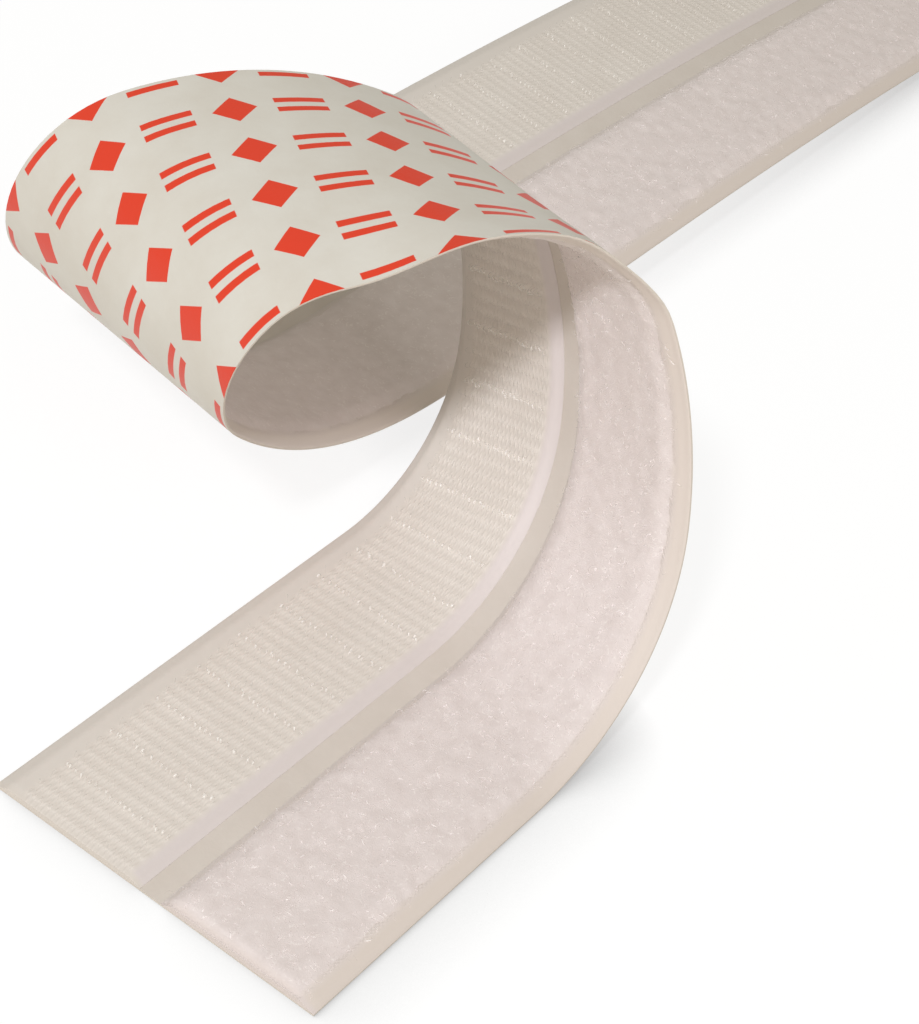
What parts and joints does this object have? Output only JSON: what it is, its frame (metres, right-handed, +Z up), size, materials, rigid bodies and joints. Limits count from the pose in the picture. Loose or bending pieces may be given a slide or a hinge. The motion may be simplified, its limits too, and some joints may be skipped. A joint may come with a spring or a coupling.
{
  "type": "hook and loop tape",
  "caption": "Cut length of self-adhesive hook and loop tape: a hook lane beside a loop lane on a release liner, curled over itself, with lane ends that peel off the liner.",
  "frame": {"origin": "on the table, under the middle of the part's box", "axes": "+Z up from the table, +Y along the axis of the curl towards the far tail's side, +X from the near end towards the far tail"},
  "size_m": [0.2362, 0.1666, 0.0548],
  "materials": {
    "liner": "satin coated paper with a small red print on the outside",
    "hook_weave": "woven nylon ground with rows of monofilament hooks",
    "loop_pile": "woven nylon ground under a soft napped pile of loops",
    "adhesive": "clear pressure-sensitive adhesive, glossy"
  },
  "bodies": {
    "tape": {"release_liner": "liner", "hook_tape": "hook_weave", "hook_adhesive": "adhesive", "loop_tape": "loop_pile", "loop_adhesive": "adhesive"},
    "hook_lift": {"hook_end": "hook_weave", "hook_end_adhesive": "adhesive"},
    "loop_lift": {"loop_end": "loop_pile", "loop_end_adhesive": "adhesive"}
  },
  "joints": [
    {"name": "hook_end_peel", "type": "hinge", "parent": "tape", "child": "hook_lift", "pos_m": [-0.0806, -0.03962, 0.0026], "axis": [-0.3007, 0.9537, 0], "range_deg": [0, 140]},
    {"name": "loop_end_peel", "type": "hinge", "parent": "tape", "child": "loop_lift", "pos_m": [-0.07342, -0.06241, 0.0026], "axis": [-0.3007, 0.9537, 0], "range_deg": [0, 140]}
  ]
}
